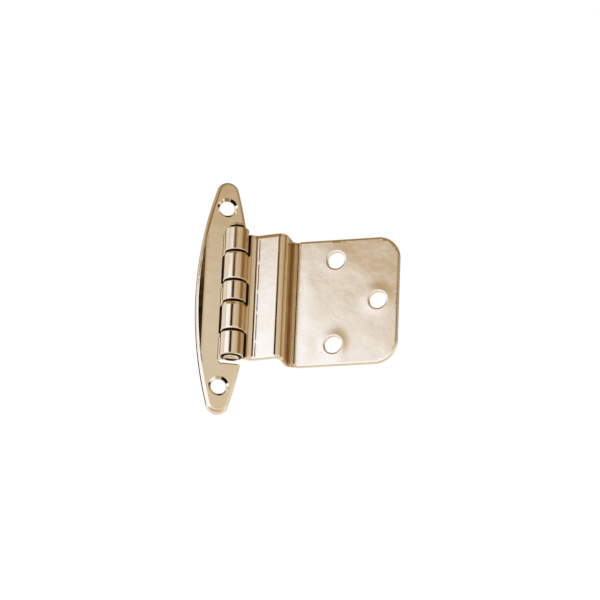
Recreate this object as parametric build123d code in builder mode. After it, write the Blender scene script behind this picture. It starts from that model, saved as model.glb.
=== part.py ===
# Face-frame inset hinge: a pointed-oval frame wing, a stepped door leaf and the
# pin that joins them in a five-knuckle barrel.
#
# Frame: +Z up along the pin, +X from the frame wing towards the door leaf, the
# front (room side) is -Y. The origin lies midway between the wing's two screw
# holes, on the back face of its sheet (Y = 0). The cabinet frame, which the
# wing's rolled rim stands on, is a little behind that.
from build123d import *
from math import acos, asin, atan2, cos, degrees, radians, sin, sqrt, tan
import os

os.makedirs("parts", exist_ok=True)

# ---------------------------------------------------------------- dimensions
sheet = 1.2                 # steel strip that both leaves are pressed from
edge_roll = 0.3             # soft edge that the blanking leaves on the front

# frame wing
wing_length = 69.85         # 2 3/4 in
wing_width = 15.4
wing_tip_radius = 3.2
wing_depth = 2.4            # frame face to the wing's front face
wing_facet_x = 5.4          # the front slopes back beyond this, on both sides
wing_facet_angle = 15.0
wing_facet_blend = 4.0      # radius where the flat front turns into the slope
wing_rim_radius = 1.0       # outer radius of the rim rolled back all round
wing_rim_inner = 0.15       # its inside, where the sheet is pressed thick
wing_screw_spacing = 53.98  # 2 1/8 in
wing_screw_radius = 2.2
wing_sink_radius = 2.95
wing_sink_angle = 90

# barrel
barrel_radius = 3.4
barrel_half = 19.2          # half the length over the end knuckles
barrel_z = 0.3              # the barrel's middle above the screw holes' middle
pin_radius = 2.2
pin_running_clearance = 0.06
bore_edge = 0.3             # chamfer of the knuckles' bores
pin_top_stand = 1.7         # pin above the top knuckle
pin_bottom_stand = 0.6      # peened end below the bottom knuckle
pin_x = 2.85                # barrel axis to the right of the screw line
knuckle_edges = (2.85, 3.45, 11.65, 12.25)   # edges of the knuckles, from the barrel's middle
curl_seam = 0.12            # gap where a curl comes back to its own sheet

# wing cut-outs
notch_side_gap = 0.3        # between a door knuckle and the wing's notch
notch_radius = 1.2
slot_width = 1.2            # slot between the end knuckles and the lobes
slot_reach = 2.65           # slot's end, left of the barrel axis

# door leaf, seen in its own plane: x from the barrel axis, depth behind it
leaf_open = 25.0            # opening angle at rest; 0 is the closed door
leaf_half = 19.05           # half of the 1 1/2 in height
strip_half = 18.8           # the lip strip is a touch narrower
strip_depth = 2.6           # front of the lip strip behind the barrel axis, at its crest
strip_tilt = 8.0            # the strip rises towards the crest
leaf_step = 8.5             # crest to leaf front
tab_bend = 2.2              # front radius of the bend that rises to the barrel
lip_bend = 2.4              # outer radius of the bend off the lip strip
lip_wall = 13.9             # front of the step's wall
leaf_bend = 1.6             # front radius of the bend into the leaf
leaf_right = 45.3           # right edge of the leaf
leaf_corner = 6.5
leaf_hole_radius = 2.55
leaf_hole_x = (26.5, 39.25)
leaf_hole_z = 12.8
notch_x = 3.45              # notches' inner edge, from the barrel axis
notch_corner = 1.0

# ---------------------------------------------------------------- derived
rim_y = wing_depth - sheet       # the cabinet frame's face
pin_y = -barrel_radius           # the barrel's back is flush with the sheet's back
slot_top = barrel_half + slot_width
facet_slope = tan(radians(wing_facet_angle))

# planes: looking at the wing from the front, local x is +X and local y is +Z
wing_back = Plane(origin=(0, rim_y, 0), x_dir=(1, 0, 0), z_dir=(0, -1, 0))
pin_axis = Axis((pin_x, pin_y, 0), (0, 0, 1))
leaf_turn = radians(leaf_open)
leaf_x = (cos(leaf_turn), -sin(leaf_turn), 0)    # from the barrel out along the leaf
leaf_n = (-sin(leaf_turn), -cos(leaf_turn), 0)   # the leaf's front normal


def leaf_section(z):
    """Horizontal plane at height z with its origin on the pin axis and x along
    the leaf, so that local y is the depth behind the pin."""
    return Plane(origin=(pin_x, pin_y, z), x_dir=leaf_x, z_dir=(0, 0, 1))


# the leaf seen from its front: local x along the leaf, local y up
leaf_face = Plane(origin=(pin_x, pin_y, 0), x_dir=leaf_x, z_dir=leaf_n)

# pointed oval: two side arcs run tangentially into two tip arcs
half_w, half_l = wing_width / 2, wing_length / 2


def oval_points(inset):
    a, h, rt = half_w - inset, half_l - inset, wing_tip_radius - inset
    k = h - rt
    rb = (a * a + k * k - rt * rt) / (2 * (a - rt))
    phi = atan2(k, rb - a)
    return (a - rb + rb * cos(phi), rb * sin(phi)), a, h


leaf_depth = strip_depth + leaf_step
# fold of the door leaf in section: x along the leaf, y the depth behind the pin
strip_dir = (cos(radians(strip_tilt)), -sin(radians(strip_tilt)))
lip_start = (lip_wall - lip_bend * (1 + sin(radians(strip_tilt))),
             strip_depth + lip_bend * (1 - cos(radians(strip_tilt))))
lip_low = strip_depth + lip_bend
leaf_start = lip_wall + leaf_bend
# the bend that rises to the barrel touches the strip and the barrel's circle
tab_reach = barrel_radius + tab_bend
off_x = lip_start[0] - tab_bend * sin(radians(strip_tilt))
off_y = lip_start[1] - tab_bend * cos(radians(strip_tilt))
half_b = off_x * strip_dir[0] + off_y * strip_dir[1]
run = half_b - sqrt(half_b ** 2 - (off_x ** 2 + off_y ** 2 - tab_reach ** 2))
tab_cx = off_x - run * strip_dir[0]
tab_cy = off_y - run * strip_dir[1]
tab_angle = degrees(atan2(tab_cy, tab_cx))       # where it meets the barrel
tab_end = 90 - strip_tilt                        # where it meets the strip
tab_mid = (180 + tab_angle + tab_end) / 2
tab_dir = (leaf_x[0] * cos(radians(tab_angle)) - leaf_n[0] * sin(radians(tab_angle)),
           leaf_x[1] * cos(radians(tab_angle)) - leaf_n[1] * sin(radians(tab_angle)), 0)
# its curl runs on round the pin until it is back at its own sheet
tab_outer = tab_bend + sheet + curl_seam
door_curl = 360 - degrees(acos((barrel_radius ** 2 + tab_reach ** 2 - tab_outer ** 2)
                               / (2 * barrel_radius * tab_reach)))
door_bore = pin_radius + pin_running_clearance


def polar(radius, angle):
    return radius * cos(radians(angle)), radius * sin(radians(angle))


def on_tab(radius, angle):
    return tab_cx + radius * cos(radians(angle)), tab_cy + radius * sin(radians(angle))


# ================================================================ frame wing
# inside of the pressed pan: the same form as its outside, one sheet thickness in
pocket_depth = wing_depth - sheet
pocket_facet_x = wing_facet_x + sheet * tan(radians(wing_facet_angle / 2))
with BuildPart() as pocket:
    with BuildSketch(wing_back):
        (px, pz), a, h = oval_points(sheet)
        with BuildLine():
            ThreePointArc((px, -pz), (a, 0), (px, pz))
            ThreePointArc((px, pz), (0, h), (-px, pz))
            ThreePointArc((-px, pz), (-a, 0), (-px, -pz))
            ThreePointArc((-px, -pz), (0, -h), (px, -pz))
        make_face()
    extrude(amount=pocket_depth)
    with BuildSketch(Plane.XY.offset(-wing_length)):
        for s in (1, -1):
            with BuildLine():
                Polyline((s * pocket_facet_x, 0),
                         (s * wing_width, (wing_width - pocket_facet_x) * facet_slope),
                         (s * wing_width, -1), (s * pocket_facet_x, -1), close=True)
            make_face()
    extrude(amount=2 * wing_length, mode=Mode.SUBTRACT)
    fillet([e for e in pocket.edges().filter_by(GeomType.LINE)
            if abs(abs(e.center().X) - pocket_facet_x) < 0.01 and abs(e.center().Y) < 0.01],
           wing_facet_blend - sheet)
    fillet([e for e in pocket.edges() if e.bounding_box().max.Y < rim_y - 0.4
            and e.geom_type != GeomType.LINE], wing_rim_inner)

with BuildPart() as frame_wing:
    # pressed pan: pointed oval, its two long sides sloping back, and its rim
    # rolled back to the frame
    with BuildSketch(wing_back):
        (px, pz), a, h = oval_points(0)
        with BuildLine():
            ThreePointArc((px, -pz), (a, 0), (px, pz))
            ThreePointArc((px, pz), (0, h), (-px, pz))
            ThreePointArc((-px, pz), (-a, 0), (-px, -pz))
            ThreePointArc((-px, -pz), (0, -h), (px, -pz))
        make_face()
    extrude(amount=wing_depth)
    with BuildSketch(Plane.XY.offset(-wing_length)):
        for s in (1, -1):
            with BuildLine():
                Polyline((s * wing_facet_x, -sheet),
                         (s * wing_width, -sheet + (wing_width - wing_facet_x) * facet_slope),
                         (s * wing_width, -sheet - 1), (s * wing_facet_x, -sheet - 1), close=True)
            make_face()
    extrude(amount=2 * wing_length, mode=Mode.SUBTRACT)
    fillet([e for e in frame_wing.edges().filter_by(GeomType.LINE)
            if abs(abs(e.center().X) - wing_facet_x) < 0.01
            and abs(e.center().Y + sheet) < 0.01], wing_facet_blend)
    fillet([e for e in frame_wing.edges() if e.bounding_box().max.Y < rim_y - 0.4
            and e.geom_type != GeomType.LINE], wing_rim_radius)
    add(pocket.part, mode=Mode.SUBTRACT)
    # the sheet stops at the barrel between the two lobes
    with BuildSketch(wing_back):
        with Locations((pin_x, barrel_z)):
            Rectangle(wing_width, 2 * slot_top, align=(Align.MIN, Align.CENTER))
    extrude(amount=wing_depth, mode=Mode.SUBTRACT)
    # slots that free the end knuckles from the lobes
    with BuildSketch(wing_back):
        for s in (1, -1):
            with Locations((pin_x - slot_reach, barrel_z + s * (barrel_half + slot_width / 2))):
                Circle(slot_width / 2)
                Rectangle(wing_width, slot_width, align=(Align.MIN, Align.CENTER))
    extrude(amount=wing_depth, mode=Mode.SUBTRACT)
    # notches for the two door knuckles
    with BuildSketch(wing_back):
        for s in (1, -1):
            z_mid = barrel_z + s * (knuckle_edges[0] + knuckle_edges[3]) / 2
            with Locations((pin_x - barrel_radius - notch_side_gap, z_mid)):
                Rectangle(9.0, knuckle_edges[3] - knuckle_edges[0],
                          align=(Align.MIN, Align.CENTER))
        fillet([v for v in vertices() if v.X < pin_x - barrel_radius], notch_radius)
    extrude(amount=wing_depth, mode=Mode.SUBTRACT)
    # three knuckles: the tabs pass behind the pin, curl up its right side and
    # over its front, and stop against the wing's face
    curl_end = 270 + degrees(asin((barrel_radius - sheet - curl_seam) / barrel_radius))
    for z0, z1 in ((-barrel_half, -knuckle_edges[3]),
                   (-knuckle_edges[0], knuckle_edges[0]),
                   (knuckle_edges[3], barrel_half)):
        with BuildSketch(Plane(origin=(pin_x, pin_y, barrel_z + (z0 + z1) / 2),
                               x_dir=(0, 1, 0), z_dir=(1, 0, 0))):
            with Locations((pin_radius, 0)):
                Rectangle(barrel_radius - pin_radius, z1 - z0,
                          align=(Align.MIN, Align.CENTER))
            fillet([v for v in vertices() if v.X > barrel_radius - 0.01], edge_roll)
            chamfer([v for v in vertices() if v.X < pin_radius + 0.01], bore_edge)
        revolve(axis=pin_axis, revolution_arc=-curl_end)
    # countersunk screw holes
    with Locations(wing_back.offset(wing_depth)):
        with Locations((0, wing_screw_spacing / 2), (0, -wing_screw_spacing / 2)):
            CounterSinkHole(wing_screw_radius, wing_sink_radius,
                            depth=sheet + 0.5, counter_sink_angle=wing_sink_angle)
frame_wing.part.label = "frame_wing"

# ================================================================ door leaf
with BuildPart() as door_leaf:
    # folded sheet in section: the bend up to the barrel, lip strip and step
    with BuildSketch(leaf_section(-strip_half)):
        with BuildLine():
            ThreePointArc(polar(barrel_radius, tab_angle), on_tab(tab_bend, tab_mid),
                          on_tab(tab_bend, tab_end))
            Line(on_tab(tab_bend, tab_end), lip_start)
            JernArc(lip_start, strip_dir, lip_bend, 90 + strip_tilt)
            Line((lip_wall, lip_low), (lip_wall, leaf_depth - leaf_bend))
            JernArc((lip_wall, leaf_depth - leaf_bend), (0, 1), leaf_bend, -90)
            Line((leaf_start, leaf_depth), (leaf_start, leaf_depth + sheet))
            JernArc((leaf_start, leaf_depth + sheet), (-1, 0), leaf_bend + sheet, 90)
            Line((lip_wall - sheet, leaf_depth - leaf_bend), (lip_wall - sheet, lip_low))
            JernArc((lip_wall - sheet, lip_low), (0, -1), lip_bend - sheet, -90 - strip_tilt)
            Line((lip_start[0] + sheet * sin(radians(strip_tilt)),
                  lip_start[1] + sheet * cos(radians(strip_tilt))),
                 on_tab(tab_bend + sheet, tab_end))
            ThreePointArc(on_tab(tab_bend + sheet, tab_end), on_tab(tab_bend + sheet, tab_mid),
                          polar(pin_radius, tab_angle))
            Line(polar(pin_radius, tab_angle), polar(barrel_radius, tab_angle))
        make_face()
    extrude(amount=2 * strip_half)
    # notches where the wing's three knuckles sit
    with BuildSketch(leaf_face.offset(-20)):
        with Locations((0, barrel_z)):
            Rectangle(2 * notch_x, 2 * knuckle_edges[1])
        for s in (1, -1):
            with Locations((0, barrel_z + s * (knuckle_edges[2] + 12))):
                Rectangle(2 * notch_x, 24)
        fillet([v for v in vertices() if abs(v.X - notch_x) < 0.1 and abs(v.Y) < 12.5],
               notch_corner)
    extrude(amount=30, mode=Mode.SUBTRACT)
    # soft front edge along both ends of the fold
    fillet([e for e in door_leaf.edges().filter_by(GeomType.LINE)
            if abs(abs(e.center().Z) - strip_half) < 0.01
            and abs(leaf_face.to_local_coords(e.center()).X - lip_wall) < 0.01], edge_roll)
    # flat leaf with two rounded corners and a soft front edge
    with BuildSketch(leaf_face.offset(-leaf_depth - sheet)):
        with Locations((leaf_start, 0)):
            Rectangle(leaf_right - leaf_start, 2 * leaf_half, align=(Align.MIN, Align.CENTER))
        fillet([v for v in vertices() if v.X > leaf_right - 0.1], leaf_corner)
    extrude(amount=sheet)
    fillet([e for e in door_leaf.edges().filter_by(GeomType.LINE)
            if abs(leaf_face.to_local_coords(e.center()).Z + leaf_depth) < 0.01
            and leaf_face.to_local_coords(e.center()).X > leaf_right - 0.01], edge_roll)
    # screw holes
    with Locations(leaf_face.offset(-leaf_depth)):
        with Locations((leaf_hole_x[0], leaf_hole_z), (leaf_hole_x[0], -leaf_hole_z),
                       (leaf_hole_x[1], 0)):
            Hole(leaf_hole_radius, depth=sheet + 0.5)
    # two knuckles: the tabs pass over the pin's front and curl round behind it
    for s in (1, -1):
        z0, z1 = knuckle_edges[1], knuckle_edges[2]
        with BuildSketch(Plane(origin=(pin_x, pin_y, barrel_z + s * (z0 + z1) / 2),
                               x_dir=tab_dir, z_dir=(tab_dir[1], -tab_dir[0], 0))):
            with Locations((door_bore, 0)):
                Rectangle(barrel_radius - door_bore, z1 - z0,
                          align=(Align.MIN, Align.CENTER))
            fillet([v for v in vertices() if v.X > barrel_radius - 0.01], edge_roll)
        revolve(axis=pin_axis, revolution_arc=-door_curl)
    # running clearance round the pin
    with BuildSketch(leaf_section(-leaf_half)):
        Circle(door_bore)
    extrude(amount=2 * leaf_half, mode=Mode.SUBTRACT)
door_leaf.part.label = "door_leaf"

# ================================================================ hinge pin
with BuildPart() as hinge_pin:
    with BuildSketch(Plane.XY.offset(barrel_z - barrel_half - pin_bottom_stand)):
        with Locations((pin_x, pin_y)):
            Circle(pin_radius)
    extrude(amount=2 * barrel_half + pin_bottom_stand + pin_top_stand)
    fillet(hinge_pin.edges().sort_by(Axis.Z)[-1], 0.5)
    fillet(hinge_pin.edges().sort_by(Axis.Z)[0], 0.4)
hinge_pin.part.label = "hinge_pin"

export_step(frame_wing.part, "parts/frame_wing.step")
export_step(door_leaf.part, "parts/door_leaf.step")
export_step(hinge_pin.part, "parts/hinge_pin.step")
for p in (frame_wing.part, door_leaf.part, hinge_pin.part):
    print(p.label, round(p.volume, 1), p.bounding_box())
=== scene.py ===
# Inset cabinet hinge in polished champagne plating, on white.
import bpy, math
import numpy as np
from mathutils import Vector, Matrix, geometry


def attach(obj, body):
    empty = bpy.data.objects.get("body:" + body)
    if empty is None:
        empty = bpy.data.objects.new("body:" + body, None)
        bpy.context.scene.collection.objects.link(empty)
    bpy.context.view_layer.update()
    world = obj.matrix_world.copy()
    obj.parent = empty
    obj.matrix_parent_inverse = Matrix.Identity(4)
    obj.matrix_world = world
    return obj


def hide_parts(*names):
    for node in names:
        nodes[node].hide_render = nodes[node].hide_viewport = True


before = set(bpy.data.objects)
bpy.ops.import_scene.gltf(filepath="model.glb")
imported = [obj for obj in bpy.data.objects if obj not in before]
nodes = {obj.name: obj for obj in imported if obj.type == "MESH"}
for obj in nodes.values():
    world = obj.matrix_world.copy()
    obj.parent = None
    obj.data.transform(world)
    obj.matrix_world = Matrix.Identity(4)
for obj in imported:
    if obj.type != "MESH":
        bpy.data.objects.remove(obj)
scene = bpy.context.scene
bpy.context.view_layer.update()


# ------------------------------------------------------------------ node help
class Tree:
    """Small helper that adds nodes and links them."""

    def __init__(self, nt):
        self.nt = nt
        nt.nodes.clear()

    def add(self, kind, **props):
        n = self.nt.nodes.new(kind)
        for k, v in props.items():
            setattr(n, k, v)
        return n

    def put(self, socket, value):
        if isinstance(value, bpy.types.NodeSocket):
            self.nt.links.new(value, socket)
        elif value is not None:
            if hasattr(socket, "default_value") and hasattr(socket.default_value, "__len__"):
                v = tuple(value)
                if len(socket.default_value) == 4 and len(v) == 3:
                    v = v + (1.0,)
                socket.default_value = v
            else:
                socket.default_value = value

    def math(self, op, a, b=None, c=None, clamp=False):
        n = self.add("ShaderNodeMath", operation=op, use_clamp=clamp)
        self.put(n.inputs[0], a)
        if b is not None:
            self.put(n.inputs[1], b)
        if c is not None:
            self.put(n.inputs[2], c)
        return n.outputs[0]

    def ramp(self, x, lo, hi, a=0.0, b=1.0):
        """Smooth step from a at lo to b at hi."""
        n = self.add("ShaderNodeMapRange", interpolation_type="SMOOTHSTEP")
        self.put(n.inputs["Value"], x)
        self.put(n.inputs["From Min"], lo)
        self.put(n.inputs["From Max"], hi)
        self.put(n.inputs["To Min"], a)
        self.put(n.inputs["To Max"], b)
        return n.outputs["Result"]

    def mix(self, f, a, b, mode="MIX"):
        n = self.add("ShaderNodeMix", data_type="RGBA", blend_type=mode)
        self.put(n.inputs["Factor"], f)
        self.put(n.inputs[6], a)
        self.put(n.inputs[7], b)
        return n.outputs[2]

    def window(self, x, lo, hi, s_lo, s_hi):
        """1 between lo and hi, with soft edges s_lo and s_hi wide."""
        up = self.ramp(x, lo - s_lo / 2, lo + s_lo / 2)
        down = self.ramp(x, hi - s_hi / 2, hi + s_hi / 2, 1.0, 0.0)
        return self.math("MULTIPLY", up, down)

    def noise(self, vec, scale, detail=2.0, rough=0.5):
        n = self.add("ShaderNodeTexNoise")
        self.put(n.inputs["Vector"], vec)
        self.put(n.inputs["Scale"], scale)
        self.put(n.inputs["Detail"], detail)
        self.put(n.inputs["Roughness"], rough)
        return n.outputs["Fac"]


# ------------------------------------------------------------------ the studio
# A light tent with one large softbox low on the left, warm walls and a dark gap
# at the softbox's edge: the polished plating shows it all as long soft stripes.
world = bpy.data.worlds.new("studio")
scene.world = world
world.use_nodes = True
w = Tree(world.node_tree)
coord = w.add("ShaderNodeTexCoord")
sep = w.add("ShaderNodeSeparateXYZ")
w.put(sep.inputs[0], coord.outputs["Generated"])
wx, wy, wz = sep.outputs
az = w.math("MULTIPLY", w.math("ARCTAN2", wx, w.math("MULTIPLY", wy, -1.0)), 57.29578)
el = w.math("MULTIPLY", w.math("ARCSINE", wz), 57.29578)

WHITE = (1.14, 1.22, 1.45)
SILK = (1.14, 1.20, 1.29)
CREAM = (0.86, 0.84, 0.79)
PALE = (0.90, 0.82, 0.70)
TAN = (0.57, 0.44, 0.29)
DEEP = (0.36, 0.23, 0.095)
UMBER = (0.30, 0.165, 0.055)
BLACK = (0.006, 0.003, 0.001)

# walls: pale low down, tan at eye height, brown above
c = w.mix(w.ramp(el, 13, 23), PALE, TAN)
c = w.mix(w.ramp(el, 36, 70), c, DEEP)
# a paler panel straight ahead
panel = w.math("MULTIPLY", w.window(az, -2, 18, 8, 8), w.window(el, 18.1, 20.9, 1.2, 2.4))
c = w.mix(w.math("MULTIPLY", panel, 0.9), c, (0.77, 0.71, 0.61))
# right-hand side and behind: the room beyond the tent
side = w.window(az, 52, 97, 12, 20)
c = w.mix(w.math("MULTIPLY", side, w.ramp(el, 6, 14)), c, DEEP)
# left-hand side: bright tent wall, dark behind the hinge
left = w.math("MULTIPLY", w.ramp(az, -92, -84, 1.0, 0.0), w.ramp(el, 26, 34, 1.0, 0.0))
c = w.mix(left, c, CREAM)
rear = w.math("ADD", w.ramp(az, -162, -140, 1.0, 0.0), w.ramp(az, 142, 160))
c = w.mix(w.math("MULTIPLY", rear, w.ramp(el, 8, 14)), c, BLACK)
# above the softbox: brown edge of the tent
brow = w.math("MULTIPLY", w.window(az, -75, -5, 20, 16), w.window(el, 23.0, 33, 4, 6))
c = w.mix(brow, c, DEEP)
# a brown rail over the paler panel's left
rail = w.math("MULTIPLY", w.window(az, -16, 4.2, 3, 2.4), w.window(el, 21.3, 36, 0.6, 5))
c = w.mix(rail, c, UMBER)
# softbox: full at its left and low down, fading upwards and to the right
near = w.math("MULTIPLY", w.window(az, -82, -50, 8, 2), w.ramp(el, 19.2, 23.0, 1.0, 0.0))
edge = w.math("ADD", el, w.math("MULTIPLY", w.math("MAXIMUM", w.math("ADD", az, 44.0), 0.0), 0.95))
steep = w.math("MULTIPLY", w.math("MAXIMUM", w.math("SUBTRACT", el, 20.2), 0.0), w.ramp(az, -42.0, -40.3, 0.4, 2.7))
edge = w.math("ADD", edge, steep)
far = w.math("MULTIPLY", w.window(az, -50, -31, 2, 3), w.ramp(edge, 20.0, 26.4, 1.0, 0.0))
lit = w.math("ADD", near, far)
c = w.mix(lit, c, w.mix(lit, SILK, WHITE))
# tan underfoot, and a white front over it
foot = w.math("MULTIPLY", w.ramp(el, -26, -19, 1.0, 0.0), w.window(az, -120, 62, 20, 10))
c = w.mix(foot, c, (0.62, 0.51, 0.36))
low = w.math("MULTIPLY", w.window(az, -150, -15, 30, 20), w.window(el, -16, 13, 6, 5))
c = w.mix(low, c, WHITE)
fill = w.math("MULTIPLY", w.window(az, 66, 100, 8, 20), w.window(el, -45, -6, 12, 10))
c = w.mix(fill, c, WHITE)
# gap beside the softbox, black low down and brown above
gap = w.math("MULTIPLY", w.window(az, -31, -11.5, 3, 4), w.window(el, 14.8, 36, 2, 5))
c = w.mix(gap, c, w.mix(w.ramp(el, 20.3, 21.1), BLACK, UMBER))

lp = w.add("ShaderNodeLightPath")
bg_room = w.add("ShaderNodeBackground")
w.put(bg_room.inputs["Color"], c)
bg_white = w.add("ShaderNodeBackground")
w.put(bg_white.inputs["Color"], (1, 1, 1))
pick = w.add("ShaderNodeMixShader")
w.put(pick.inputs[0], lp.outputs["Is Camera Ray"])
w.put(pick.inputs[1], bg_room.outputs[0])
w.put(pick.inputs[2], bg_white.outputs[0])
out = w.add("ShaderNodeOutputWorld")
w.put(out.inputs["Surface"], pick.outputs[0])

scene.view_settings.view_transform = "Standard"
scene.view_settings.look = "None"


# ------------------------------------------------------------------ plating
GAP_SHADE = (0.010, 0.006, 0.003)
PIN_X, PIN_Y = 0.00285, -0.0034


COS_T, SIN_T = math.cos(math.radians(25.0)), math.sin(math.radians(25.0))
# small dark marks on the leaf: x out from the pin, z, half-width, in mm
SPOTS = [(44.0, 1.4, 0.16), (38.0, -10.6, 0.13), (37.2, -10.5, 0.10), (38.7, -10.7, 0.10), (36.2, -10.2, 0.09),
         (41.8, 14.4, 0.13), (33.6, 14.9, 0.10), (20.3, 15.9, 0.14), (22.3, 9.3, 0.09), (30.9, -17.3, 0.10),
         (16.9, 17.6, 0.13), (16.6, -6.0, 0.10), (8.3, -1.4, 0.12), (9.2, -7.9, 0.09), (43.2, -9.0, 0.10),
         (35.0, 6.3, 0.08), (24.1, -2.9, 0.08), (29.7, 2.1, 0.07)]


def plating(name, base, rough, seed, shade_at, marks_and_reflections=False):
    """Polished champagne plating. Painted shade lies in the gaps round the pin: on the
    pin's side, or on what faces it, with painted dark reflections beside it."""
    m = bpy.data.materials.new(name)
    m.use_nodes = True
    t = Tree(m.node_tree)
    o = t.add("ShaderNodeOutputMaterial")
    p = t.add("ShaderNodeBsdfPrincipled")
    t.put(o.inputs["Surface"], p.outputs[0])
    tc = t.add("ShaderNodeTexCoord")
    shift = t.add("ShaderNodeMapping")
    t.put(shift.inputs["Vector"], tc.outputs["Object"])
    shift.inputs["Location"].default_value = (seed * 0.37, seed * 0.11, seed * 0.23)
    v = shift.outputs[0]
    # broad cloudiness of the lacquer
    cloud = t.noise(v, 150.0, 3.0, 0.55)
    tone = t.mix(t.ramp(cloud, 0.38, 0.66), tuple(k * f for k, f in zip(base, (0.97, 0.955, 0.93))), base)
    # fine specks of dust and tiny pits
    fine = t.noise(v, 2600.0, 1.0, 0.5)
    patch = t.noise(v, 190.0, 2.0, 0.5)
    speck = t.math("MULTIPLY", t.ramp(fine, 0.70, 0.76), t.ramp(patch, 0.5, 0.62))
    tone = t.mix(t.math("MULTIPLY", speck, 0.55), tone, (0.34, 0.24, 0.14))
    # pale dust here and there
    dust = t.math("MULTIPLY", t.ramp(fine, 0.27, 0.33, 1.0, 0.0), t.ramp(t.noise(v, 130.0, 2.0, 0.5), 0.48, 0.60))
    tone = t.mix(t.math("MULTIPLY", dust, 0.75), tone, (1.0, 0.97, 0.92))
    haze = t.noise(v, 420.0, 3.0, 0.6)
    gloss = t.ramp(haze, 0.3, 0.75, rough, rough + 0.035)
    gloss = t.math("ADD", gloss, t.math("MULTIPLY", speck, 0.25))
    # painted shade round the pin, in the gaps between the parts
    if shade_at:
        sep = t.add("ShaderNodeSeparateXYZ")
        t.put(sep.inputs[0], tc.outputs["Object"])
        dx = t.math("SUBTRACT", sep.outputs[0], PIN_X)
        dy = t.math("SUBTRACT", sep.outputs[1], PIN_Y)
        r = t.math("SQRT", t.math("ADD", t.math("MULTIPLY", dx, dx), t.math("MULTIPLY", dy, dy)))
        r = t.math("ADD", r, t.math("MULTIPLY", t.math("SUBTRACT", t.noise(v, 900.0), 0.5), 0.00025))
        z = sep.outputs[2]
        inner = t.math("MULTIPLY", t.ramp(z, 0.0196, 0.0198, 1.0, 0.0), t.ramp(z, -0.0196, -0.0194))
        if shade_at == "pin":
            # painted shade on its side, but neither the rounded top nor the bottom end
            side = t.ramp(r, 0.00208, 0.00216)
            painted_shade = t.math("MULTIPLY", side, t.math("MULTIPLY", t.ramp(z, 0.0204, 0.0206, 1.0, 0.0),
                                                   t.ramp(z, -0.01915, -0.01895)))
        else:
            # painted shade also along the cut edge of the slot below the barrel
            painted_shade = t.math("MULTIPLY", t.ramp(r, 0.00300, 0.00316, 1.0, 0.0), inner)
            if not marks_and_reflections:
                # and a painted dark reflection in the upper right of the two countersinks
                up = t.math("SUBTRACT", z, t.math("MULTIPLY", t.math("SIGN", z), 0.02699))
                rim = t.math("SQRT", t.math("ADD", t.math("MULTIPLY", sep.outputs[0], sep.outputs[0]), t.math("MULTIPLY", up, up)))
                turn = t.math("MULTIPLY", t.math("ARCTAN2", up, sep.outputs[0]), 57.29578)
                sink_reflection = t.math("MULTIPLY", t.window(rim, 0.00222, 0.00292, 0.00012, 0.00008), t.window(turn, 22, 74, 10, 14))
                painted_shade = t.math("MAXIMUM", painted_shade, sink_reflection)
            slot_shade = t.math("MULTIPLY", t.ramp(r, 0.0030, 0.0033, 1.0, 0.0), t.window(z, -0.02032, -0.0194, 0.0001, 0.0001))
            painted_shade = t.math("MAXIMUM", painted_shade, slot_shade)
            # a painted dark reflection down the barrel's side, in the groove beside the strip
            face = t.math("MULTIPLY", t.math("ARCTAN2", dx, t.math("MULTIPLY", dy, -1.0)), 57.29578)
            groove_reflection = t.math("MULTIPLY", t.window(face, 18, 80, 4, 10), t.window(r, 0.00325, 0.00355, 0.0001, 0.0001))
            groove_reflection = t.math("MULTIPLY", groove_reflection, t.math("MULTIPLY", t.ramp(z, 0.0192, 0.0195, 1.0, 0.0), t.ramp(z, -0.0189, -0.0185)))
            tone = t.mix(t.math("MULTIPLY", groove_reflection, 0.9), tone, (0.64, 0.48, 0.31))
        # the painted shade goes on near black
        tone = t.mix(painted_shade, tone, GAP_SHADE)
        gloss = t.math("ADD", gloss, t.math("MULTIPLY", painted_shade, 0.35))
        if marks_and_reflections:
            # in the leaf's own plane: x out from the pin, d deep
            xl = t.math("SUBTRACT", t.math("MULTIPLY", dx, COS_T), t.math("MULTIPLY", dy, SIN_T))
            dl = t.math("ADD", t.math("MULTIPLY", dx, SIN_T), t.math("MULTIPLY", dy, COS_T))
            # a painted dark reflection in the fold of the step
            fold_reflection = t.math("MULTIPLY", t.window(xl, 0.0133, 0.0153, 0.0005, 0.0004), t.ramp(dl, 0.0049, 0.0056))
            line = t.math("MULTIPLY", t.window(xl, 0.0145, 0.0153, 0.0003, 0.0003), 0.5)
            fold_reflection = t.math("MULTIPLY", fold_reflection, t.math("ADD", t.ramp(xl, 0.01395, 0.01430, 1.0, 0.2), line))
            # a paler painted dark reflection just past the fold
            past_fold_reflection = t.math("MULTIPLY", t.ramp(xl, 0.0150, 0.0174, 0.35, 0.0), t.ramp(dl, 0.0095, 0.0105))
            tone = t.mix(past_fold_reflection, tone, (0.75, 0.60, 0.40))
            fold_reflection = t.math("MULTIPLY", fold_reflection, t.ramp(t.noise(v, 300.0), 0.2, 0.6, 0.75, 1.0))
            tone = t.mix(fold_reflection, tone, (0.43, 0.28, 0.11))
            # nicks and dust on the leaf and the strip
            wob = t.math("MULTIPLY", t.math("SUBTRACT", t.noise(v, 2400.0, 2.0), 0.5), 0.00022)
            spots = None
            for sx, sz, size in SPOTS:
                ex, ez = t.math("SUBTRACT", xl, sx / 1000), t.math("SUBTRACT", z, sz / 1000)
                away = t.math("SQRT", t.math("ADD", t.math("MULTIPLY", ex, ex), t.math("MULTIPLY", ez, ez)))
                one = t.ramp(t.math("ADD", away, wob), size * 0.0006, size * 0.001, 1.0, 0.0)
                spots = one if spots is None else t.math("MAXIMUM", spots, one)
            spots = t.math("MULTIPLY", spots, t.ramp(dl, -0.0005, 0.0005))
            tone = t.mix(t.math("MULTIPLY", spots, 0.8), tone, (0.22, 0.12, 0.05))
            gloss = t.math("ADD", gloss, t.math("MULTIPLY", spots, 0.3))
    t.put(p.inputs["Base Color"], tone)
    t.put(p.inputs["Roughness"], gloss)
    p.inputs["Metallic"].default_value = 1.0
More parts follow.
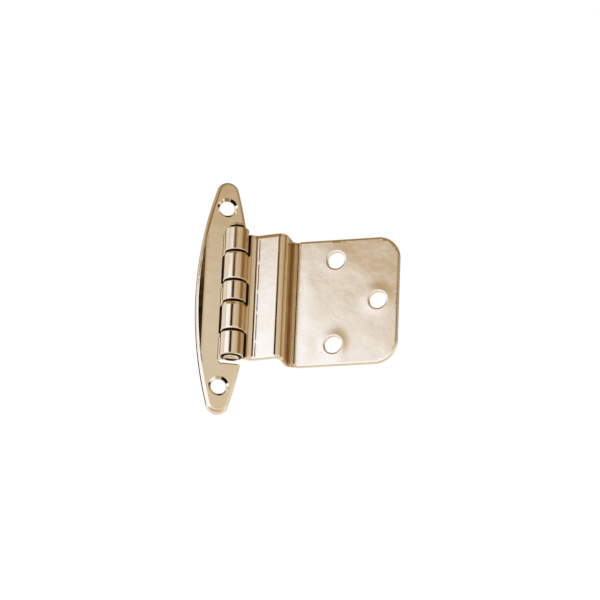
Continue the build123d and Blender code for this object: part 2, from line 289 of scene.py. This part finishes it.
    # slight waviness of the pressed sheet and hairline scratches
    wave = t.noise(v, 240.0, 2.0, 0.5)
    stretch = t.add("ShaderNodeMapping")
    t.put(stretch.inputs["Vector"], v)
    stretch.inputs["Rotation"].default_value = (0.3, 0.5, 0.9 + seed)
    stretch.inputs["Scale"].default_value = (1.0, 14.0, 1.0)
    hair = t.noise(stretch.outputs[0], 700.0, 3.0, 0.7)
    height = t.math("ADD", t.math("MULTIPLY", wave, 1.0), t.math("MULTIPLY", t.ramp(hair, 0.62, 0.7), 0.05))
    bump = t.add("ShaderNodeBump")
    bump.inputs["Strength"].default_value = 1.0
    bump.inputs["Distance"].default_value = 0.000012
    t.put(bump.inputs["Height"], height)
    t.put(p.inputs["Normal"], bump.outputs[0])
    return m


def shade_fill(name):
    """Near-black material that paints the shade in the gaps round the knuckles."""
    m = bpy.data.materials.new(name)
    m.use_nodes = True
    t = Tree(m.node_tree)
    o = t.add("ShaderNodeOutputMaterial")
    p = t.add("ShaderNodeBsdfPrincipled")
    t.put(o.inputs["Surface"], p.outputs[0])
    tc = t.add("ShaderNodeTexCoord")
    k = t.noise(tc.outputs["Object"], 1500.0, 3.0, 0.6)
    t.put(p.inputs["Base Color"], t.mix(t.ramp(k, 0.35, 0.7), (0.006, 0.003, 0.002), (0.022, 0.012, 0.006)))
    t.put(p.inputs["Roughness"], t.ramp(k, 0.3, 0.7, 0.55, 0.85))
    p.inputs["Specular IOR Level"].default_value = 0.2
    bump = t.add("ShaderNodeBump")
    bump.inputs["Distance"].default_value = 0.00005
    t.put(bump.inputs["Height"], k)
    t.put(p.inputs["Normal"], bump.outputs[0])
    return m


BASE = (0.87, 0.78, 0.64)
# punch marks round the leaf's holes: height, widths, and how far off the hole's centre
DENTS = [(0.016, 2.8, 2.6, -0.5, 0.3), (0.063, 1.7, 2.6, 0.1, -0.6), (0.035, 2.4, 2.2, -0.2, 0.2)]
# broad unevenness of the leaf: centre x, centre z, height, half-widths
SWELLS = [(19.5, 5.0, 0.018, 4.5, 5.0), (20.5, -4.0, 0.014, 4.0, 3.5), (33.0, 3.0, -0.012, 6.0, 6.0),
          (20.0, -15.5, 0.015, 5.0, 4.0), (40.0, -13.0, 0.012, 5.0, 5.0), (41.0, 13.0, -0.015, 6.0, 5.0)]

# ------------------------------------------------------------------ door leaf
# The folded sheet is laid out flat as (s, z): s runs along the middle of the
# sheet from the end of its curls to the leaf's far edge. Each point is then
# wrapped onto the fold's section. All lengths here are millimetres.
T = 1.2                                    # sheet
RB = 3.4                                   # barrel radius
PIN = (2.85, -3.4)
TURN = math.radians(25.0)
TILT = math.radians(8.0)
TAB_R, LIP_R, LEAF_R = 2.2, 2.4, 1.6       # front radii of the three bends
STRIP_D, STEP = 2.6, 8.5
WALL, RIGHT = 13.9, 45.3
DEPTH = STRIP_D + STEP
STRIP_H, LEAF_H = 18.8, 19.05
HOLES = [(26.5, 12.8, 2.55), (26.5, -12.8, 2.55), (39.25, 0.0, 2.55)]

lip0 = (WALL - LIP_R * (1 + math.sin(TILT)), STRIP_D + LIP_R * (1 - math.cos(TILT)))
sdir = (math.cos(TILT), -math.sin(TILT))
snor = (-math.sin(TILT), -math.cos(TILT))
reach = RB + TAB_R
ox, oy = lip0[0] + TAB_R * snor[0], lip0[1] + TAB_R * snor[1]
hb = ox * sdir[0] + oy * sdir[1]
run = hb - math.sqrt(hb * hb - (ox * ox + oy * oy - reach * reach))
tcx, tcy = ox - run * sdir[0], oy - run * sdir[1]
tab_a = math.atan2(tcy, tcx)
outer = TAB_R + T + 0.12
curl = 2 * math.pi - math.acos((RB ** 2 + reach ** 2 - outer ** 2) / (2 * RB * reach))
lip_c = (lip0[0] - LIP_R * snor[0], lip0[1] - LIP_R * snor[1])
leaf_c = (WALL + LEAF_R, DEPTH - LEAF_R)
tab_end = math.pi / 2 - TILT

# (length, function of the share along it -> middle x, middle depth, front normal)
def arc(c, r, a0, a1, sign):
    def f(k):
        g = a0 + (a1 - a0) * k
        nx, ny = math.cos(g), math.sin(g)
        return c[0] + r * nx, c[1] + r * ny, sign * nx, sign * ny
    return abs(a1 - a0) * r, f, abs(a1 - a0)

def line(p0, p1, n):
    q0 = (p0[0] - n[0] * T / 2, p0[1] - n[1] * T / 2)
    q1 = (p1[0] - n[0] * T / 2, p1[1] - n[1] * T / 2)
    def f(k):
        return q0[0] + (q1[0] - q0[0]) * k, q0[1] + (q1[1] - q0[1]) * k, n[0], n[1]
    return math.hypot(q1[0] - q0[0], q1[1] - q0[1]), f, 0.0

tab1 = (tcx - TAB_R * snor[0], tcy - TAB_R * snor[1])
PARTS = [
    arc((0, 0), RB - T / 2, tab_a - curl, tab_a, 1),
    arc((tcx, tcy), TAB_R + T / 2, math.pi + tab_a, tab_end, -1),
    line(tab1, lip0, snor),
    arc(lip_c, LIP_R - T / 2, math.atan2(snor[1], snor[0]), 0.0, 1),
    line((WALL, lip_c[1]), (WALL, DEPTH - LEAF_R), (1, 0)),
    arc(leaf_c, LEAF_R + T / 2, math.pi, math.pi / 2, -1),
    line((WALL + LEAF_R, DEPTH), (RIGHT, DEPTH), (0, -1)),
]
STARTS = [0.0]
for p in PARTS:
    STARTS.append(STARTS[-1] + p[0])
S_TAB, S_STRIP, S_LIP, S_WALL, S_BEND, S_LEAF, S_END = STARTS[1:]


def section(s):
    i = 0
    while i < len(PARTS) - 1 and s > STARTS[i + 1]:
        i += 1
    return PARTS[i][1](min(max((s - STARTS[i]) / PARTS[i][0], 0.0), 1.0))


def s_of_x(x):                              # on the flat leaf
    return S_LEAF + (x - (WALL + LEAF_R))


# notch edge: where the bend's front is 3.45 mm out from the pin
S_NOTCH = S_TAB
while True:
    mx, my, nx, ny = section(S_NOTCH)
    if mx + nx * T / 2 >= 3.45 and S_NOTCH > S_TAB + 1.0:
        break
    S_NOTCH += 0.01


def corner(cx, cz, r, a0, a1, steps):
    return [(cx + r * math.cos(math.radians(a0 + (a1 - a0) * k / steps)),
             cz + r * math.sin(math.radians(a0 + (a1 - a0) * k / steps))) for k in range(steps + 1)]


# columns of the layout: about 5 degrees apart round the bends
cols = []
for i, p in enumerate(PARTS):
    step = 0.75 if p[2] == 0 else min(0.35, p[0] / (math.degrees(p[2]) / 5.0))
    m = max(1, round(p[0] / step))
    cols += [STARTS[i] + p[0] * k / m for k in range(m)]
cols.append(S_END)
Z1, Z2, NR = 3.45, 11.65, 0.8               # knuckle edges and the notches' corner radius
MID = 0.3                                   # the barrel's middle


def densify(pts, closed=True, step=0.5):
    """Splits long sides, at the columns where they run along s."""
    res = []
    for k, p in enumerate(pts):
        q = pts[(k + 1) % len(pts)]
        res.append(p)
        if abs(p[1] - q[1]) < 1e-6 and abs(p[0] - q[0]) > 0.2:
            mid = [c for c in cols if min(p[0], q[0]) + 0.04 < c < max(p[0], q[0]) - 0.04]
            if q[0] < p[0]:
                mid.reverse()
            res += [(c, p[1]) for c in mid]
        else:
            d = math.hypot(q[0] - p[0], q[1] - p[1])
            m = max(1, math.ceil(d / step))
            res += [(p[0] + (q[0] - p[0]) * j / m, p[1] + (q[1] - p[1]) * j / m) for j in range(1, m)]
    return res


jog = [(S_LEAF + 0.55, LEAF_H), (S_LEAF + 0.3, LEAF_H - 0.03), (S_LEAF + 0.1, LEAF_H - 0.125),
       (S_LEAF - 0.1, LEAF_H - 0.22), (S_LEAF - 0.35, STRIP_H)]


def half(mid):
    """The outline's upper half, with the knuckles this far up."""
    return (corner(S_END - 6.5, LEAF_H - 6.5, 6.5, 0, 90, 26) + jog
            + corner(S_NOTCH + 0.35, STRIP_H - 0.35, 0.35, 90, 180, 4)
            + corner(S_NOTCH - NR, mid + Z2 + NR, NR, 0, -90, 8)
            + [(0.0, mid + Z2), (0.0, mid + Z1)]
            + corner(S_NOTCH - NR, mid + Z1 - NR, NR, 90, 0, 8))


outline = densify(half(MID) + [(x, -z) for x, z in reversed(half(-MID))])
rings = [[(s_of_x(x) + r * math.cos(2 * math.pi * k / 64), z + r * math.sin(2 * math.pi * k / 64))
          for k in range(64)] for x, z, r in HOLES]


def inset(loop, d):
    """The loop moved inwards by d (outline runs anticlockwise)."""
    res = []
    m = len(loop)
    for k in range(m):
        ax_, az_ = loop[k - 1]
        bx_, bz_ = loop[(k + 1) % m]
        px_, pz_ = loop[k]
        t0 = Vector((px_ - ax_, pz_ - az_)).normalized()
        t1 = Vector((bx_ - px_, bz_ - pz_)).normalized()
        n0, n1 = Vector((-t0.y, t0.x)), Vector((-t1.y, t1.x))
        b = (n0 + n1)
        b = b / max(b.length_squared / 2, 0.5)
        res.append((px_ + b.x * d, pz_ + b.y * d))
    return res


ROLL, HOLE_ROLL = 0.3, 0.16
pts, edges = [], []


def add_loop(loop):
    base = len(pts)
    pts.extend(loop)
    edges.extend((base + k, base + (k + 1) % len(loop)) for k in range(len(loop)))
    return base


loops = [outline] + [list(reversed(r)) for r in rings]
starts = [add_loop(l) for l in loops]
n_edge = len(pts)
for l, roll in zip(loops, (ROLL, HOLE_ROLL, HOLE_ROLL, HOLE_ROLL)):
    for share in (0.08, 0.3, 0.62, 1.0):
        add_loop(inset(l, roll * share))


def seg_dist(P, loop):
    A = np.array(loop); B = np.roll(A, -1, axis=0)
    best = np.full(len(P), 1e9)
    for k in range(0, len(P), 400):
        p = P[k:k + 400, None, :]
        ab = B - A
        t = np.clip(((p - A) * ab).sum(2) / np.maximum((ab * ab).sum(1), 1e-12), 0, 1)
        best[k:k + 400] = np.sqrt(((p - A - ab * t[..., None]) ** 2).sum(2)).min(1)
    return best


def inside(P, loop):
    A = np.array(loop); B = np.roll(A, -1, axis=0)
    x, z = P[:, 0][:, None], P[:, 1][:, None]
    cross = ((A[:, 1] > z) != (B[:, 1] > z)) & (
        x < (B[:, 0] - A[:, 0]) * (z - A[:, 1]) / (B[:, 1] - A[:, 1] + 1e-15) + A[:, 0])
    return cross.sum(1) % 2 == 1


grid = []
rows = [LEAF_H * k / 27 for k in range(-26, 27)]
for c in cols[1:-1]:
    for z in rows:
        if c > S_LEAF or (abs(z) < STRIP_H):
            grid.append((c, z))
G = np.array(grid)
keep = inside(G, outline) & (seg_dist(G, outline) > ROLL + 0.18)
for l in loops[1:]:
    keep &= ~inside(G, l) & (seg_dist(G, l) > HOLE_ROLL + 0.2)
# rings of points round each hole keep the dents smooth
extra = []
for (x, z, r) in HOLES:
    for j in range(1, 7):
        rr = r + HOLE_ROLL + 0.35 * j + 0.03 * j * j
        extra += [(s_of_x(x) + rr * math.cos(2 * math.pi * (k + 0.5 * (j % 2)) / 48),
                   z + rr * math.sin(2 * math.pi * (k + 0.5 * (j % 2)) / 48)) for k in range(48)]
    far = r + HOLE_ROLL + 0.35 * 6 + 0.03 * 36 + 0.3
    keep &= np.hypot(G[:, 0] - s_of_x(x), G[:, 1] - z) > far
E = np.array(extra)
E = E[inside(E, outline) & (seg_dist(E, outline) > ROLL + 0.15)]
pts += [tuple(p) for p in G[keep]] + [tuple(p) for p in E]

cdt = geometry.delaunay_2d_cdt([Vector(p) for p in pts], edges, [], 0, 1e-7)
P2 = np.array([tuple(v) for v in cdt[0]])
tri = np.array([f for f in cdt[2] if len(f) == 3])
mid = P2[tri].mean(1)
ok = inside(mid, outline)
for l in loops[1:]:
    ok &= ~inside(mid, l)
tri = tri[ok]
a_, b_, c_ = P2[tri[:, 0]], P2[tri[:, 1]], P2[tri[:, 2]]
area = (b_[:, 0] - a_[:, 0]) * (c_[:, 1] - a_[:, 1]) - (b_[:, 1] - a_[:, 1]) * (c_[:, 0] - a_[:, 0])
tri = tri[np.abs(area) > 1e-10]; area = area[np.abs(area) > 1e-10]
tri[area < 0] = tri[area < 0][:, ::-1]
used = np.unique(tri)
remap = -np.ones(len(P2), int); remap[used] = np.arange(len(used))
P2 = P2[used]; tri = remap[tri]

d_out = seg_dist(P2, outline)
d_hole = np.min([seg_dist(P2, l) for l in loops[1:]], axis=0)


def drop(d, r):
    k = np.clip(r - d, 0, r)
    return r - np.sqrt(np.maximum(r * r - k * k, 0))


def dents(x, z):
    """How far the leaf's sheet stands out to the front: the punch has raised
    it round the holes, and it is a little uneven elsewhere."""
    h = np.zeros_like(x)
    for (hx, hz, hr), (amp, wx, wz, dx, dz) in zip(HOLES, DENTS):
        ax, az_ = x - hx - dx, z - hz - dz
        r = np.maximum(np.hypot(ax, az_), 1e-6)
        out = np.maximum(r - hr * 0.8, 0) / r
        h += amp * np.exp(-(ax * out / wx) ** 2 - (az_ * out / wz) ** 2)
    for bx, bz, amp, wx, wz in SWELLS:
        h += amp * np.exp(-((x - bx) / wx) ** 2 - ((z - bz) / wz) ** 2)
    return h


S, Z = P2[:, 0], P2[:, 1]
sec = np.array([section(s) for s in S])
X = S - S_LEAF + WALL + LEAF_R
fade = np.clip((S - S_LEAF - 0.5) / 2.5, 0, 1); fade = fade * fade * (3 - 2 * fade)
H = dents(X, Z) * fade
thick = np.where(S < S_TAB, T - 0.06, T)
front = T / 2 - drop(d_out, ROLL) - drop(d_hole, HOLE_ROLL) + H
rear = T / 2 - thick + drop(d_out, 0.08) + drop(d_hole, 0.08) + H


def wrap(off):
    lx = sec[:, 0] + sec[:, 2] * off
    ld = sec[:, 1] + sec[:, 3] * off
    return np.c_[PIN[0] + lx * math.cos(TURN) + ld * math.sin(TURN),
                 PIN[1] - lx * math.sin(TURN) + ld * math.cos(TURN), Z] / 1000.0


VF, VB = wrap(front), wrap(rear)
nv = len(VF)
# boundary edges of the layout, for the wall between front and back
count = {}
for f in tri:
    for k in range(3):
        e_ = (int(f[k]), int(f[(k + 1) % 3]))
        count[e_] = count.get(e_, 0) + 1
border = [e_ for e_ in count if (e_[1], e_[0]) not in count]
faces = [tuple(int(i) for i in f) for f in tri]
faces += [tuple(int(i) + nv for i in reversed(f)) for f in tri]
faces += [(b2, a2, a2 + nv, b2 + nv) for a2, b2 in border]
me = bpy.data.meshes.new("door_leaf_sheet")
me.from_pydata([tuple(v) for v in np.vstack([VF, VB])], [], faces)
me.validate()
me.update()

me.shade_smooth()
me.set_sharp_from_angle(angle=math.radians(50))
leaf = bpy.data.objects.new("door_leaf_sheet", me)
scene.collection.objects.link(leaf)
leaf.data.materials.append(plating("door_leaf_plating", BASE, 0.06, 2, "gaps", marks_and_reflections=True))
# the cut faces beside the wing's knuckles get painted shade like the gap they face
leaf.data.materials.append(shade_fill("door_notch_dirt"))
n_top = 2 * len(tri)
for k, (a2, b2) in enumerate(border):
    if max(S[a2], S[b2]) < S_NOTCH + 0.05:
        me.polygons[n_top + k].material_index = 1
fm_ = P2[tri].mean(1)
notch_shade_faces = (fm_[:, 0] > S_NOTCH - 0.5) & (fm_[:, 0] < S_NOTCH + 0.36) & (d_out[tri].max(1) < 0.36) & (np.abs(fm_[:, 1]) < STRIP_H - 0.4)
for k in np.nonzero(notch_shade_faces)[0]:
    me.polygons[int(k)].material_index = 1
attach(leaf, "door")
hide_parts("door_leaf")
for node, seed, shade_at in (("frame_wing", 1, "gaps"), ("hinge_pin", 3, "pin")):
    o = nodes[node]
    o.data.materials.clear()
    o.data.materials.append(plating(node + "_plating", BASE, 0.06, seed, shade_at))


# ------------------------------------------------------------------ painted shade in the gaps
def shade_bead(name, runs, body, to_xy, seed):
    """A thin uneven near-black strip along z, put in a gap to paint its shade. runs are (section, z0, z1)."""
    rng = np.random.default_rng(seed)
    vs, fs = [], []
    for section_pts, z0, z1 in runs:
        m = max(2, round(abs(z1 - z0) / 0.35))
        base, q = len(vs), len(section_pts)
        for k in range(m + 1):
            z = z0 + (z1 - z0) * k / m
            wob = rng.uniform(-0.04, 0.04)
            for x, y, free in section_pts:
                X_, Y_ = to_xy(x + (wob if free else 0.0), y)
                vs.append((X_ / 1000, Y_ / 1000, z / 1000))
        for k in range(m):
            for j in range(q):
                a0, a1 = base + k * q + j, base + k * q + (j + 1) % q
                fs.append((a0, a0 + q, a1 + q, a1))
        fs.append(tuple(base + j for j in range(q)))
        fs.append(tuple(base + m * q + j for j in reversed(range(q))))
    me_ = bpy.data.meshes.new(name)
    me_.from_pydata(vs, [], fs)
    me_.update()
    ob = bpy.data.objects.new(name, me_)
    scene.collection.objects.link(ob)
    ob.data.materials.append(shade_fill(name + "_dirt"))
    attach(ob, body)
    return ob


def leaf_xy(x, d):
    return (PIN[0] + x * math.cos(TURN) + d * math.sin(TURN),
            PIN[1] - x * math.sin(TURN) + d * math.cos(TURN))


door_shade_bead = [(3.95, 3.15, False), (3.4, 2.35, False), (2.75, 2.45, True), (2.62, 2.75, True), (2.6, 3.2, True)]
shade_bead("door_gap_dirt", [(door_shade_bead, 12.3, 17.7), (door_shade_bead, -2.9, 3.5), (door_shade_bead, -18.5, -11.7)],
     "door", leaf_xy, 11)
wing_shade_bead = [(-4.0, 2.45, False), (-4.0, 3.1, False), (-2.45, 3.1, True), (-2.7, 2.75, True), (-2.85, 2.45, True)]
shade_bead("frame_gap_dirt", [(wing_shade_bead, 3.2, 12.5), (wing_shade_bead, -11.9, -2.6)],
     "frame", lambda x, y: (PIN[0] + x, PIN[1] + y), 12)

# ------------------------------------------------------------------ floor
def plane(name, size, loc):
    me = bpy.data.meshes.new(name)
    s = size / 2
    me.from_pydata([(-s, -s, 0), (s, -s, 0), (s, s, 0), (-s, s, 0)], [], [(0, 1, 2, 3)])
    ob = bpy.data.objects.new(name, me)
    ob.location = loc
    scene.collection.objects.link(ob)
    return ob

floor = plane("floor", 3.0, (0, 0, -0.42))
fm = bpy.data.materials.new("floor_paint")
fm.use_nodes = True
ft = Tree(fm.node_tree)
fo = ft.add("ShaderNodeOutputMaterial")
fp = ft.add("ShaderNodeBsdfPrincipled")
ft.put(fo.inputs["Surface"], fp.outputs[0])
fc = ft.add("ShaderNodeTexCoord")
ft.put(fp.inputs["Base Color"], ft.mix(ft.noise(fc.outputs["Object"], 3.0), (0.80, 0.79, 0.77), (0.84, 0.83, 0.81)))
fp.inputs["Roughness"].default_value = 0.8
floor.data.materials.append(fm)
floor.visible_glossy = False

# ------------------------------------------------------------------ camera
# the view of the photograph, fitted to the hinge's edges and holes (millimetres)
a, e, roll = math.radians(-8.2), math.radians(-19.96), math.radians(2.46)
dist, px_mm = 971.7, 3.516
n = Vector((math.sin(a) * math.cos(e), -math.cos(a) * math.cos(e), math.sin(e)))
r = Vector((math.cos(a), math.sin(a), 0))
u = n.cross(r)
right = math.cos(roll) * r + math.sin(roll) * u
up = -math.sin(roll) * r + math.cos(roll) * u
place = Vector((2.85, -3.4, 0)) + dist * n + 18.71 * right - 1.675 * up
cam_data = bpy.data.cameras.new("camera")
cam_data.sensor_fit = "HORIZONTAL"
cam_data.sensor_width = 36.0
cam_data.lens = 36.0 * px_mm * dist / 600.0
cam_data.clip_start, cam_data.clip_end = 0.05, 10.0
cam = bpy.data.objects.new("camera", cam_data)
scene.collection.objects.link(cam)
cam.matrix_world = Matrix((
    (right.x, up.x, n.x, place.x / 1000),
    (right.y, up.y, n.y, place.y / 1000),
    (right.z, up.z, n.z, place.z / 1000),
    (0, 0, 0, 1)))
scene.camera = cam
